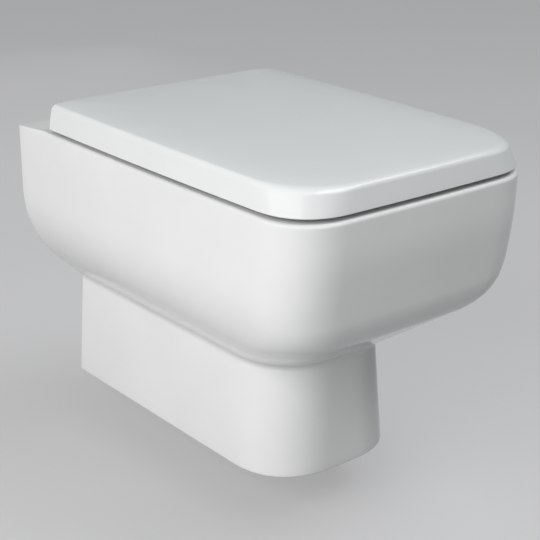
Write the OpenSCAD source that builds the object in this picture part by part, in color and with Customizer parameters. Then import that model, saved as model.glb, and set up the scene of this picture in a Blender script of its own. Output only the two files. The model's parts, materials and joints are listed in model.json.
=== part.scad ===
// Wall hung toilet with a wrap-over soft-close lid.
// The wall is the plane y = 0, the front faces -Y, +Z is up.
// The origin lies on the wall, midway between the two wall bolts.

/* [Pan] */
// How far the pan stands out from the wall
pan_depth = 521; // [500:1:560]
// Width of the pan at the wall
wall_width = 333; // [325:1:350]
// Width of the pan behind its front corners
front_width = 331; // [325:1:350]
// How far each side swells between wall and front
side_bow = 4; // [0:0.5:6]
// How far the front swells between its corners
front_bow = 3; // [0:0.5:6]
// Size of the front corners in plan
corner_size = 63; // [50:1:75]
// Squareness of the front corners, 2 is a true round
squareness = 2.38; // [2:0.02:2.8]
// Height of the rim above the wall bolts
rim_height = 80; // [74:1:90]
// Rounding of the rim's outer edge
rim_round = 4; // [3:0.5:7]
// Depth below the rim where side wall and underside would meet
side_turn = 140; // [135:1:145]
// Radius of the belly at the sides
side_belly = 135; // [100:1:140]
// Depth below the rim where front and underside would meet
front_turn = 137; // [132:1:142]
// Radius of the belly at the front
front_belly = 60; // [40:1:70]
// How far the front draws in over its height
front_lean = 14; // [8:1:18]

/* [Foot] */
// Depth of the foot's bottom below the rim
foot_drop = 344; // [325:1:355]
// Depth below the rim where underside and foot meet at the sides
crease_drop = 213; // [208:1:218]
// Depth below the rim where underside and foot meet at the front
front_crease = 211; // [207:1:216]
// Radius of the hollow where underside and foot meet
crease_round = 13; // [8:1:16]
// Width of the foot just under the belly
foot_width = 178; // [172:1:184]
// How far the foot stands out from the wall just under the belly
foot_depth = 400; // [390:1:408]
// How far the foot's sides flare outwards down to its bottom
foot_flare = 9; // [6:1:12]
// How far the foot's front flares outwards down to its bottom
foot_lead = 5; // [2:1:10]
// Size of the foot's front corners in plan
foot_corner = 78; // [65:1:82]
// Rounding of the foot's bottom edge
foot_edge = 3; // [1:0.5:4]

/* [Walls] */
// Thickness of the outer wall
wall = 12; // [10:0.5:13]
// Thickness of the rear deck and of the rim
deck = 14; // [12:0.5:16]
// How far the deck behind the hinge falls towards the wall
deck_fall = 4.5; // [2:0.5:6]
// Thickness of the upper back wall that the bolts pull on
back_wall = 14; // [12:0.5:16]
// Depth of the upper back wall's lower edge below the bolts
back_wall_drop = 34; // [30:1:36]

/* [Bowl] */
// Distance from the wall to the bowl's opening
bowl_rear = 150; // [146:1:156]
// Width of the rim in front of the bowl
rim_front = 42; // [38:1:48]
// Width of the bowl's opening
bowl_width = 244; // [232:1:252]
// Rounding of the rim's inner edge
bowl_edge = 7; // [4:0.5:9]
// Depth of the bowl below the rim
bowl_depth = 286; // [280:1:290]
// Thickness of the bowl's wall
bowl_wall = 10; // [8:0.5:12]
// Distance from the wall to the middle of the sump
sump_rear = 285; // [280:1:290]
// Width and length of the sump
sump_size = 88; // [84:1:94]

/* [Trap] */
// Bore of the trapway
trap_bore = 70; // [64:1:72]
// Thickness of the trapway's wall
trap_wall = 9; // [7:0.5:10]
// Height of the water above the bolts
water_level = -88; // [-92:1:-84]
// Depth of the water seal
water_seal = 50; // [48:1:52]
// Depth of the waste outlet's middle below the bolts
outlet_drop = 100; // [98:1:102]
// Outer diameter of the waste spigot
spigot_d = 102; // [100:1:104]
// Length of the spigot's full-sized end
spigot_land = 12; // [10:1:14]
// How far the spigot steps in behind that end
spigot_step = 1; // [0.5:0.5:1.5]
// Inner diameter of the waste spigot
spigot_bore = 85; // [82:1:88]
// Length of the waste spigot
spigot_length = 70; // [64:1:76]
// Height of the flush inlet's middle above the bolts
inlet_rise = 35; // [34:1:36]
// Bore of the flush inlet
inlet_bore = 55; // [50:1:56]
// Thickness of the flush inlet's wall
inlet_wall = 7; // [6:0.5:8]

/* [Wall fixing] */
// Distance between the two wall bolts
bolt_pitch = 180; // [176:1:184]
// Diameter of the wall bolts
stud_d = 12; // [10:1:12]
// How far their shank through the pan steps in
shank_step = 0.2; // [0.1:0.05:0.4]
// Hole for a wall bolt and its sleeve
bolt_hole = 22; // [20:1:24]
// How far the wall bolts reach into the wall
stud_in_wall = 35; // [25:1:60]
// How far a sleeve stays back from the wall
sleeve_back = 1; // [0.5:0.5:2]
// Diameter of the sleeve's collar
sleeve_collar = 34; // [30:1:36]
// Thickness of the sleeve's collar
sleeve_collar_h = 3; // [2:0.5:4]
// Diameter of the washer
washer_d = 30; // [28:1:32]
// Thickness of the washer
washer_h = 2.5; // [2:0.5:4]
// Width across the flats of the wall nut
wall_nut = 19; // [18:1:20]
// Height of the wall nut
wall_nut_h = 10; // [8:0.5:12]
// How far a bolt stands out of its nut
stud_proud = 6; // [3:1:10]

/* [Hinge] */
// Distance between the two hinge posts
hinge_pitch = 155; // [152:1:158]
// Distance from the wall to the hinge axis
hinge_rear = 83; // [81:0.5:84]
// Height of the hinge axis above the rim
hinge_rise = 18; // [17.5:0.5:19]
// Hole in the deck for a hinge bolt
deck_hole = 14; // [12:0.5:16]
// Diameter of the hinge plate
plate_d = 44; // [38:1:48]
// Thickness of the hinge plate
plate_h = 4; // [3.5:0.5:4.5]
// Thickness of the gasket under the hinge plate
gasket_h = 1; // [0.5:0.5:1.5]
// Width and depth of the hinge post
post_size = 18; // [17:0.5:19]
// Diameter of the hinge bolt
hinge_bolt_d = 6; // [5:0.5:6]
// Length of the hinge bolt below the rim
hinge_bolt_l = 52; // [46:1:60]
// Length of the rubber plug below the rim
plug_l = 34; // [28:1:38]
// Diameter of the hinge pins and damper shafts
pin_d = 8; // [7:0.5:8]
// Outer diameter of the bush in the post
bush_d = 11; // [10.5:0.5:12]
// Outer diameter of the damper body
damper_d = 14; // [13.5:0.5:14.5]
// Length of the damper body
damper_l = 28; // [26:1:30]
// Outer diameter of the hinge barrels on seat and lid
barrel_d = 19; // [18.5:0.5:19.5]
// Length of the hinge barrels
barrel_l = 38; // [34:1:40]
// Radial clearance of a running fit
fit = 0.05; // [0.02:0.01:0.08]
// Gap between a barrel and the post beside it
side_gap = 0.5; // [0.3:0.1:0.8]

/* [Seat and lid] */
// Gap between the rim and the lid's lower edge
lid_gap = 5; // [4:0.5:6]
// How far the lid's sides stay inside the pan's
lid_inset = 0.8; // [0.5:0.1:2]
// How far the lid's front stays inside the pan's
lid_front_inset = 2.5; // [2:0.5:4]
// Distance from the wall to the lid's rear edge
lid_rear = 73; // [71:0.5:74]
// Height of the lid's side
lid_height = 28; // [27:0.1:30]
// How far the lid's side leans in over that height
lid_lean = 4.2; // [3:0.1:6]
// Rounding of the lid's top edge
lid_edge = 7.5; // [6:0.5:10]
// How much the lid's top swells from its side to its middle
lid_crown = 3; // [2:0.1:4]
// How early the swell rises, 2 is an even curve
crown_power = 6; // [2:0.5:8]
// How much lower the lid's top lies at its front
lid_fall = 2; // [1:0.1:4]
// Size of the front corners of the lid's top
lid_corner = 89; // [70:1:95]
// Thickness of the lid's side wall
lid_wall = 4.5; // [4:0.5:5]
// Height of the lid's ceiling above its lower edge
lid_ceiling = 27; // [26.5:0.1:27.5]
// Height of the seat's underside above the rim
seat_lift = 7; // [6.5:0.1:7.5]
// Thickness of the seat
seat_h = 17; // [15:0.5:18]
// Gap between the seat and the lid's side wall
seat_gap = 3; // [2.5:0.5:4]
// Distance from the wall to the seat's rear edge
seat_rear = 99; // [98:0.5:102]
// Distance from the wall to the seat's opening
seat_hole_rear = 172; // [165:1:180]
// Width of the seat at its front
seat_front = 62; // [56:1:70]
// Width of the seat's opening
seat_hole_width = 218; // [208:1:230]
// Length of a rubber buffer
buffer_l = 34; // [24:1:40]
// Width of a rubber buffer
buffer_w = 12; // [10:1:14]
// Gap that soft pieces keep from what they rest on
rest_gap = 0.3; // [0.2:0.05:0.4]
// Thickness of the tape that holds a pad under the lid
pad_tape = 0.3; // [0.3:0.05:0.6]

/* [Hidden] */

china = "white";
plastic = "whitesmoke";
steel = "silver";
rubber = "dimgray";
$fn = 64;
// Steps round an outline: along a side, round a corner, across the front, across the back
side_steps = 7;
corner_steps = 8;
front_steps = 4;
back_steps = 2;
bowl_steps = 40;
// A cut runs this far past the face that it opens
over = 1;
front_y = -(pan_depth - front_bow);
foot_side_in = (wall_width - foot_width) / 2;
foot_front_in = pan_depth - foot_depth;
outlet_z = -outlet_drop;
spigot_neck = spigot_d - 2 * spigot_step;
shank_d = stud_d - 2 * shank_step;
axis_y = -hinge_rear;
axis_z = rim_height + hinge_rise;
lid_bottom = rim_height + lid_gap;
seat_bottom = rim_height + seat_lift;
seat_top = seat_bottom + seat_h;
ceiling_z = lid_bottom + lid_ceiling;
plate_z = rim_height + gasket_h;
post_in = hinge_pitch / 2 - post_size / 2;
post_out = hinge_pitch / 2 + post_size / 2;

function mix(a, b, t) = a + (b - a) * t;
function smooth(t) = t * t * (3 - 2 * t);
function unit(v) = v / norm(v);
// How far a quarter round of radius r has drawn in at depth d below its top
function round_in(d, r) = d < r ? r - sqrt(max(0, r * r - (r - d) * (r - d))) : 0;

// Points of an arc of radius r that rounds the corner b between a and c
function corner_arc(a, b, c, r, steps) =
  let(
    u = unit(a - b),
    v = unit(c - b),
    half = acos(u * v) / 2,
    middle = b + unit(u + v) * r / sin(half),
    first = b + u * r / tan(half) - middle,
    turn = (180 - 2 * half) * sign(u.y * v.x - u.x * v.y)
  )
  [for (i = [0:steps]) let(w = turn * i / steps)
    middle + [first.x * cos(w) - first.y * sin(w), first.x * sin(w) + first.y * cos(w)]];

// A path through points with its inner corners rounded by radii
function round_path(points, radii, steps) =
  let(last = len(points) - 1)
  concat([points[0]],
    [for (i = [1:last - 1]) each corner_arc(points[i - 1], points[i], points[i + 1], radii[i - 1], steps)],
    [points[last]]);

// Tables of depth below the rim against how far the wall has drawn in
side_path = round_path(
  [[0, 0], [0, side_turn], [foot_side_in, crease_drop], [foot_side_in - foot_flare, foot_drop]],
  [side_belly, crease_round], 8);
front_path = round_path(
  [[0, 0], [1, front_turn / 3], [front_lean, front_turn], [foot_front_in, front_crease],
   [foot_front_in - foot_lead, foot_drop]],
  [front_belly * 5, front_belly, crease_round], 8);
side_table = [for (p = side_path) [p.y, p.x]];
front_table = [for (p = front_path) [p.y, p.x]];

// Half-width of the plan at y, with a share of the side bow
function half_at(y, share) =
  let(t = min(1, -y / pan_depth))
  mix(wall_width, front_width, t) / 2 + 4 * side_bow * share * t * (1 - t);

// Plan outline from the back edge round the front: sides drawn in by side_in, corners of size corner
function outline(back, front, side_in, corner, share = 1, sides = side_steps, turns = corner_steps,
    nose = front_steps, rear = back_steps) =
  let(
    start = front + corner,
    side = [for (j = [0:sides]) let(y = mix(back, start, j / sides)) [-(half_at(y, share) - side_in), y]],
    bend = [for (j = [1:turns]) let(a = 90 * j / turns, y = start - corner * pow(sin(a), 2 / squareness))
      [-(half_at(y, share) - side_in - corner * (1 - pow(max(0, cos(a)), 2 / squareness))), y]],
    left = concat(side, bend),
    tip = -left[len(left) - 1].x,
    front_run = [for (j = [1:nose - 1]) [mix(-tip, tip, j / nose), front]],
    right = [for (j = [len(left) - 1:-1:0]) [-left[j].x, left[j].y]],
    tail = -left[0].x,
    back_run = [for (j = [1:rear - 1]) [mix(tail, -tail, j / rear), back]]
  )
  [for (p = concat(left, front_run, right, back_run))
    let(w = half_at(p.y, share) - side_in, along = (p.y - back) / (front - back))
    [p.x, p.y - front_bow * along * (1 - pow(p.x / w, 2))]];

function at_z(points, z) = [for (p = points) [p.x, p.y, z]];

// A closed solid through rings of equal length, from the lowest to the highest
module loft(rings) {
  m = len(rings[0]);
  n = len(rings);
  // Both ends are fans from a point on a corner, so no triangle lies along a straight edge
  hub = floor(m * 0.3);
  fan = [for (i = [1:m - 2]) [hub, (hub + i) % m, (hub + i + 1) % m]];
  top = (n - 1) * m;
  sides = [for (k = [0:n - 2]) for (i = [0:m - 1])
    let(a = k * m + i, b = k * m + (i + 1) % m) each [[a, a + m, b + m], [a, b + m, b]]];
  polyhedron([for (r = rings) each r],
    concat(fan, sides, [for (f = fan) [f.x + top, f.z + top, f.y + top]]), 4);
}

// A closed ring through section loops that follow each other round
module hoop(loops) {
  m = len(loops[0]);
  n = len(loops);
  polyhedron([for (r = loops) each r],
    [for (k = [0:n - 1]) for (i = [0:m - 1])
      let(e = (k + 1) % n, a = k * m + i, b = k * m + (i + 1) % m, c = e * m + i, d = e * m + (i + 1) % m)
      each [[a, b, d], [a, d, c]]], 4);
}

// A tube of radius r along a path of [y, z] points in the plane x = 0
module sweep(path, r, sides = 16) {
  n = len(path);
  loft([for (k = [0:n - 1])
    let(run = unit(path[min(k + 1, n - 1)] - path[max(k - 1, 0)]))
    [for (i = [0:sides - 1]) let(a = 360 * i / sides)
      [r * cos(a), path[k].x + r * sin(a) * run.y, path[k].y - r * sin(a) * run.x]]]);
}

// A cylinder along X from x0 to x1 at the hinge axis
module on_axis(x0, x1, d) {
  translate([min(x0, x1), axis_y, axis_z]) rotate([0, 90, 0]) cylinder(h = abs(x1 - x0), d = d);
}

// A cylinder along Y from y0 to y1
module along_y(x, z, y0, y1, d) {
  translate([x, max(y0, y1), z]) rotate([90, 0, 0]) cylinder(h = abs(y1 - y0), d = d);
}

// Depth levels below the rim, from the foot's bottom up
belly_levels = 16;
skin_depths = concat(
  [foot_drop, foot_drop - foot_edge / 3, foot_drop - foot_edge, mix(crease_drop + 12, foot_drop, 0.45)],
  [for (i = [0:5]) crease_drop + 10 - 4 * i],
  [for (i = [belly_levels:-1:0]) mix(rim_round, crease_drop - 16, pow(i / belly_levels, 0.75))],
  [for (a = [22.5:22.5:90]) rim_round * (1 - sin(a))]);

// Outline of the pan at depth d below the rim, drawn in by skin
function pan_ring(d, skin, back, sides, turns, nose, rear) =
  let(
    side_in = lookup(d, side_table),
    drawn = min(1, side_in / foot_side_in),
    edge = round_in(d, rim_round) + round_in(foot_drop - d, foot_edge)
  )
  at_z(outline(back, front_y + lookup(d, front_table) + (skin > 0 ? skin : edge),
    side_in + (skin > 0 ? skin : edge), mix(corner_size, foot_corner, drawn) - skin * 0.7, 1 - drawn,
    sides, turns, nose, rear), rim_height - d);

module pan_skin() {
  loft([for (d = skin_depths) pan_ring(d, 0, 0, side_steps, corner_steps, front_steps, back_steps)]);
}

// Space inside the outer wall, open below
module pan_hollow() {
  levels = 11;
  loft([for (i = [0:levels]) let(d = mix(foot_drop, deck, i / levels))
    pan_ring(d + (i == 0 ? over : 0), wall, -back_wall, 5, 5, 3, 4)]);
}

// What comes off the deck between the hinge plates and the wall
module deck_slope() {
  start = hinge_rear - plate_d / 2 - 1;
  rotate([90, 0, 90]) translate([0, 0, -wall_width])
    linear_extrude(2 * wall_width)
      polygon([[-start, rim_height], [over, rim_height - deck_fall * (1 + over / start)],
        [over, rim_height + deck], [-start, rim_height + deck]]);
}

// Opening in the back below the upper back wall
module back_mouth() {
  depth = rim_height + back_wall_drop;
  half = [for (d = [depth, mix(depth, crease_drop, 0.33), mix(depth, crease_drop, 0.66), crease_drop,
      crease_drop + 12, foot_drop + over])
    [wall_width / 2 - lookup(d, side_table) - wall, rim_height - d]];
  last = len(half) - 1;
  rotate([90, 0, 0]) translate([0, 0, -over]) linear_extrude(back_wall + 2 * over)
    polygon(concat(half, [for (i = [last:-1:0]) [-half[i].x, half[i].y]]));
}

// Ring of the bowl at depth d below the rim, grown outwards by grow
function bowl_ring(d, grow) =
  let(
    t = smooth(min(1, max(0, d) / (bowl_depth * 0.76))),
    base = sump_size / 2,
    deep = bowl_depth + grow,
    r = base * 0.8,
    tuck = d > deep - r ? sqrt(max(0.1, 1 - pow((d - deep + r) / r, 2))) : 1,
    edge = grow > 0 ? 0 : round_in(max(0, d), bowl_edge),
    rear_y = mix(-bowl_rear, -sump_rear + base, t),
    nose_y = mix(front_y + rim_front, -sump_rear - base, t),
    a = (rear_y - nose_y) / 2 * tuck + grow + edge,
    b = mix(bowl_width / 2, base, t) * tuck + grow + edge,
    power = 2 / mix(2.5, 2, t)
  )
  [for (i = [0:bowl_steps - 1]) let(w = 360 * i / bowl_steps, c = cos(w), s = sin(w))
    [b * sign(c) * pow(abs(c), power), (rear_y + nose_y) / 2 + a * sign(s) * pow(abs(s), power),
     rim_height - d]];

module bowl(grow, top) {
  levels = 16;
  loft(concat([for (i = [levels:-1:1]) bowl_ring((bowl_depth + grow) * pow(i / levels, 0.9), grow)],
    grow > 0 ? [bowl_ring(top, grow)] : [for (d = [4, 2, 0.7, 0]) bowl_ring(d * bowl_edge / 7, grow)],
    grow > 0 ? [] : [[for (p = bowl_ring(0, grow)) [p.x, p.y, p.z + over]]]));
}

// Middle line of the trapway in y and z, from the sump over the weir to the outlet
trap_turn = trap_bore / 2 + trap_wall + 2;
dip_y = -sump_rear + 63;
crest_y = -134;
dip_z = water_level - water_seal - trap_bore / 2;
crest_z = water_level + trap_bore / 2;
trap_path = round_path(
  [[-sump_rear, dip_z], [dip_y, dip_z - 3], [crest_y, crest_z + 35], [-spigot_length + 8, outlet_z],
   [-spigot_length / 2, outlet_z]],
  [trap_turn, trap_turn, trap_turn], 5);

module ceramic_pan() {
  color(china) difference() {
    union() {
      difference() {
        pan_skin();
        pan_hollow();
        back_mouth();
        deck_slope();
      }
      bowl(bowl_wall, deck / 2);
      sweep(trap_path, trap_bore / 2 + trap_wall);
      along_y(0, outlet_z, 0, -spigot_land, spigot_d);
      along_y(0, outlet_z, -over, -spigot_length - 6, spigot_neck);
      along_y(0, inlet_rise, -back_wall / 2, -bowl_rear - 20, inlet_bore + 2 * inlet_wall);
    }
    bowl(0, 0);
    sweep(trap_path, trap_bore / 2);
    along_y(0, outlet_z, over, -spigot_length, spigot_bore);
    along_y(0, inlet_rise, over, -bowl_rear - 40, inlet_bore);
    for (side = [-1, 1]) {
      along_y(side * bolt_pitch / 2, 0, over, -back_wall - over, bolt_hole);
      translate([side * hinge_pitch / 2, axis_y, rim_height - deck - over])
        cylinder(h = deck + 2 * over, d = deck_hole);
    }
  }
}

// Sides of the hinge: the seat sits inboard of the posts, the lid outboard
seat_x1 = post_in - side_gap;
seat_x0 = seat_x1 - barrel_l;
lid_x0 = post_out + side_gap;
lid_x1 = lid_x0 + barrel_l;
half_pitch = hinge_pitch / 2;
damper_cap_h = 4;
damper_wall = 1.5;

// Section of the seat between an outer point o and an inner point i, as a loop
function seat_section(o, i) =
  let(
    u = unit(i - o),
    row = [[o + u * 2, 0], [o, 3], [o + u / 2, seat_h - 6], [o + u * 2.5, seat_h - 2], [o + u * 7, seat_h],
      [mix(o, i, 0.5), seat_h], [i - u * 16, seat_h - 1], [i - u * 6, seat_h - 3.5],
      [i - u * 1.5, seat_h - 8], [i, seat_h - 12], [i - u * 1.5, 1.5], [i - u * 5, 0]]
  )
  [for (p = row) [p[0].x, p[0].y, seat_bottom + p[1]]];

seat_in = lid_inset + lid_wall + seat_gap;
seat_nose = front_y + lid_front_inset + lid_wall + seat_gap;
hole_nose = seat_nose + seat_front;
hole_middle = -(seat_hole_rear - hole_nose) / 2;
hole_length = -seat_hole_rear - hole_nose;
// Squareness of the seat's opening
hole_power = 2.4;

module seat_ring() {
  outer = outline(-seat_rear, seat_nose, seat_in, corner_size, 1, 8, 8, 6, 8);
  color(plastic) difference() {
    union() {
      hoop([for (o = outer)
        let(
          v = o - [0, hole_middle],
          share = [abs(v.x) * 2 / seat_hole_width, abs(v.y) * 2 / hole_length],
          reach = pow(pow(share.x, hole_power) + pow(share.y, hole_power), -1 / hole_power)
        )
        seat_section(o, [0, hole_middle] + v * reach)]);
      for (side = [-1, 1]) {
        on_axis(side * seat_x0, side * seat_x1, barrel_d);
        translate([side * (seat_x0 + seat_x1) / 2 - barrel_l / 2, -seat_rear - 8, seat_bottom + 2])
          cube([barrel_l, seat_rear + 8 - hinge_rear, seat_h - 5]);
      }
    }
    on_axis(-seat_x1 - over, -seat_x1 + damper_l + damper_cap_h, damper_d + 2 * fit);
    on_axis(seat_x1 + over, seat_x1 - damper_l, pin_d + 2 * fit);
  }
}

// Height of the lid's top at a distance inset from its side
function crown_at(inset) =
  lid_height + lid_crown * (1 - pow(max(0, 1 - inset / (front_width / 2)), crown_power));

// The lid's edge as inset against height, from its lower edge to where the crown takes over
lid_shoulder = 30;
lid_path = concat(
  [for (p = round_path([[0, 0], [lid_lean, crown_at(lid_lean)], [lid_shoulder / 2, crown_at(lid_shoulder / 2)]],
    [lid_edge], 6)) if (p.x < lid_shoulder / 2) p],
  [for (t = [0.5, 0.65, 0.8, 1]) [lid_shoulder * t, crown_at(lid_shoulder * t)]]);
lid_table = [for (p = lid_path) [p.y, p.x]];
// The lid's corners have their full size this far in
corner_grown = 10;
// Share of the inset by which the lid's rear face leans in
rear_lean = 0.05;

// Share of its height that the lid keeps at y
function fall_at(y) = 1 - lid_fall / lid_height * pow(y / pan_depth, 2);

function lid_ring(inset, height, back_in, skin = 0) =
  [for (p = outline(-lid_rear - back_in, front_y + lid_front_inset + inset + skin, lid_inset + inset + skin,
      mix(corner_size, lid_corner, min(1, inset / corner_grown)) - skin * 0.6, 1, side_steps, corner_steps,
      front_steps, 4))
    [p.x, p.y, lid_bottom + height * fall_at(p.y)]];

module lid_skin() {
  rim_rings = [for (p = lid_path) lid_ring(p.x, p.y, p.x * rear_lean)];
  edge = rim_rings[len(rim_rings) - 1];
  middle = (front_y - lid_rear) / 2;
  crown = [for (s = [0.8, 0.6, 0.4, 0.2])
    let(height = crown_at(mix(front_width / 2, lid_shoulder, s)))
    [for (p = edge) let(y = middle + (p.y - middle) * s) [p.x * s, y, lid_bottom + height * fall_at(y)]]];
  loft(concat(rim_rings, crown));
}

module lid_hollow() {
  loft([for (h = [-over, 0, 9, 17, 22, 26, lid_ceiling])
    lid_ring(lookup(h, lid_table) + (h == lid_ceiling ? 3 : 0), h, lid_wall, lid_wall)]);
}

module lid() {
  color(plastic) difference() {
    union() {
      difference() {
        lid_skin();
        lid_hollow();
        translate([-lid_x1 - 3, -lid_rear - lid_wall - over, lid_bottom - over])
          cube([2 * lid_x1 + 6, lid_wall + 2 * over, lid_ceiling + over - 2]);
      }
      for (side = [-1, 1]) {
        on_axis(side * lid_x0, side * lid_x1, barrel_d);
        translate([side * (lid_x0 + lid_x1) / 2 - barrel_l / 2, axis_y - 7, axis_z])
          cube([barrel_l, 14, ceiling_z - axis_z + 1]);
      }
    }
    on_axis(lid_x0 - over, lid_x0 + damper_l + damper_cap_h, damper_d + 2 * fit);
    on_axis(-lid_x0 + over, -lid_x0 - damper_l, pin_d + 2 * fit);
  }
}

// A rubber pad with round ends, its lower face at z
module buffer(x, y, z, h) {
  translate([x, y, z]) hull()
    for (end = [-1, 1])
      translate([0, end * (buffer_l - buffer_w) / 2, 0]) cylinder(h = h, d = buffer_w, $fn = 32);
}

buffer_x = (bowl_width + front_width) / 4;
buffer_rear = -190;
buffer_front = -400;

module seat_buffers() {
  color(rubber)
    for (x = [-buffer_x, buffer_x])
      for (y = [buffer_rear, buffer_front])
        buffer(x, y, rim_height + rest_gap, seat_lift - rest_gap);
}

module lid_buffers() {
  color(rubber)
    for (side = [-1, 1])
      for (y = [buffer_rear, buffer_front])
        buffer(side * (half_at(y, 1) - seat_in - 7 - buffer_w / 2), y, seat_top + rest_gap,
          lid_bottom + lid_ceiling * fall_at(y - buffer_l / 2) - pad_tape - seat_top - rest_gap);
}

collar_d = 2.7 * hinge_bolt_d;
collar_h = 3;
head_d = 2 * hinge_bolt_d;
head_h = hinge_bolt_d / 2;

module hinge_plate(side) {
  color(steel) translate([side * half_pitch, axis_y, plate_z]) difference() {
    union() {
      rotate_extrude() {
        square([plate_d / 2 - 1.5, plate_h]);
        square([plate_d / 2, plate_h - 1.5]);
        translate([plate_d / 2 - 1.5, plate_h - 1.5]) circle(r = 1.5);
      }
      cylinder(h = plate_h + collar_h, d = collar_d);
    }
    translate([0, 0, -over]) cylinder(h = plate_h + 2 * over, d = hinge_bolt_d + 0.4);
    translate([0, 0, plate_h - head_h]) cylinder(h = collar_h + head_h + over, d = head_d + 0.4);
  }
}

module left_hinge_plate() { hinge_plate(-1); }
module right_hinge_plate() { hinge_plate(1); }

module hinge_post(side) {
  foot_z = plate_z + plate_h;
  color(steel) difference() {
    union() {
      translate([side * half_pitch - post_size / 2, axis_y - post_size / 2, foot_z])
        cube([post_size, post_size, axis_z - foot_z]);
      on_axis(side * post_in, side * post_out, post_size);
    }
    translate([side * half_pitch, axis_y, foot_z - over])
      cylinder(h = collar_h + over + 0.3, d = collar_d + 2 * fit);
    on_axis(side * (post_in - over), side * (post_out + over), bush_d);
  }
}

module left_hinge_post() { hinge_post(-1); }
module right_hinge_post() { hinge_post(1); }

module plate_gaskets() {
  color(rubber)
    for (side = [-1, 1])
      translate([side * half_pitch, axis_y, rim_height]) difference() {
        cylinder(h = gasket_h, d = plate_d - 2);
        translate([0, 0, -over]) cylinder(h = gasket_h + 2 * over, d = deck_hole);
      }
}

module hinge_bolts() {
  head_z = plate_z + plate_h;
  color(steel)
    for (side = [-1, 1])
      translate([side * half_pitch, axis_y, 0]) {
        translate([0, 0, rim_height - hinge_bolt_l])
          cylinder(h = hinge_bolt_l + head_z - rim_height, d = hinge_bolt_d);
        translate([0, 0, head_z - head_h]) difference() {
          cylinder(h = 2 * head_h - 0.5, d = head_d);
          translate([0, 0, head_h]) cylinder(h = head_h, d = head_d / 2, $fn = 6);
        }
      }
}

module hinge_plugs() {
  color(rubber)
    for (side = [-1, 1])
      translate([side * half_pitch, axis_y, rim_height - plug_l]) difference() {
        cylinder(h = plug_l, d = deck_hole - 2 * rest_gap);
        translate([0, 0, -over]) cylinder(h = plug_l + 2 * over, d = hinge_bolt_d + 0.4);
      }
}

module hinge_nuts() {
  nut_h = hinge_bolt_l - plug_l - 4;
  color(plastic)
    for (side = [-1, 1])
      translate([side * half_pitch, axis_y, rim_height - plug_l - nut_h]) difference() {
        cylinder(h = nut_h, d1 = deck_hole, d2 = deck_hole - 4);
        translate([0, 0, -over]) cylinder(h = nut_h + 2 * over, d = hinge_bolt_d + 2 * fit);
      }
}

module post_bushes() {
  color(plastic)
    for (side = [-1, 1])
      difference() {
        on_axis(side * post_in, side * post_out, bush_d);
        on_axis(side * (post_in - over), side * (post_out + over), pin_d + 2 * fit);
      }
}

// The damper bodies turn about rotors that are keyed to the posts: x0 is the open face, dir points inwards
damper_bore = damper_d - 2 * damper_wall;
damper_end = 4;
// The rotor's thin shaft, and the vane and ribs that meet the oil
shaft_d = pin_d * 0.6;
vane_h = 1.6;
vane_gap = 0.3;

module damper_body(x0, dir) {
  color(plastic) {
    difference() {
      on_axis(x0, x0 + dir * damper_l, damper_d);
      on_axis(x0 - dir * over, x0 + dir * damper_l / 2, pin_d + 2 * fit);
      on_axis(x0 + dir * damper_end, x0 + dir * (damper_l + over), damper_bore);
    }
    for (w = [45, 225])
      translate([min(x0 + dir * damper_end, x0 + dir * damper_l), axis_y, axis_z]) rotate([w, 0, 0])
        translate([0, -vane_h / 2, shaft_d / 2 + vane_gap])
          cube([damper_l - damper_end, vane_h, (damper_bore - shaft_d) / 2]);
  }
}

module damper_cap(x0, dir) {
  color(plastic) on_axis(x0 + dir * damper_l, x0 + dir * (damper_l + damper_cap_h), damper_d);
}

module damper_rotor(x0, dir) {
  vane_l = damper_l - damper_end - 2;
  vane_x = x0 + dir * (damper_end + 1);
  vane_w = damper_bore - 2 * vane_gap;
  color(steel) {
    on_axis(x0 + dir * (damper_end - vane_gap), x0 > 0 ? half_pitch + 0.5 : -half_pitch + 0.5, pin_d);
    on_axis(x0 + dir * (damper_end - 1), x0 + dir * (damper_l - 0.5), shaft_d);
    translate([min(vane_x, vane_x + dir * vane_l), axis_y - vane_w / 2, axis_z - vane_h / 2])
      cube([vane_l, vane_w, vane_h]);
  }
}

module seat_damper_body() { damper_body(-seat_x1, 1); }
module seat_damper_cap() { damper_cap(-seat_x1, 1); }
module seat_damper_rotor() { damper_rotor(-seat_x1, 1); }
module lid_damper_body() { damper_body(lid_x0, 1); }
module lid_damper_cap() { damper_cap(lid_x0, 1); }
module lid_damper_rotor() { damper_rotor(lid_x0, 1); }

module seat_pin() { color(steel) on_axis(half_pitch - 0.5, seat_x1 - damper_l, pin_d); }
module lid_pin() { color(steel) on_axis(-half_pitch - 0.5, -lid_x0 - damper_l, pin_d); }

// The wall fixing, one set at each bolt
collar_y = -back_wall - sleeve_collar_h;
washer_y = collar_y - washer_h;
nut_y = washer_y - wall_nut_h;

module wall_studs() {
  color(steel)
    for (side = [-1, 1]) {
      along_y(side * bolt_pitch / 2, 0, stud_in_wall, 0, stud_d);
      along_y(side * bolt_pitch / 2, 0, over, nut_y - stud_proud, shank_d);
    }
}

module stud_sleeves() {
  color(plastic)
    for (side = [-1, 1])
      difference() {
        union() {
          along_y(side * bolt_pitch / 2, 0, -sleeve_back, -back_wall, bolt_hole - 2 * rest_gap);
          along_y(side * bolt_pitch / 2, 0, -back_wall, collar_y, sleeve_collar);
        }
        along_y(side * bolt_pitch / 2, 0, over, collar_y - over, stud_d + 2 * rest_gap);
      }
}

module stud_washers() {
  color(steel)
    for (side = [-1, 1])
      difference() {
        along_y(side * bolt_pitch / 2, 0, collar_y, washer_y, washer_d);
        along_y(side * bolt_pitch / 2, 0, collar_y + over, washer_y - over, stud_d + 1);
      }
}

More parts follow.
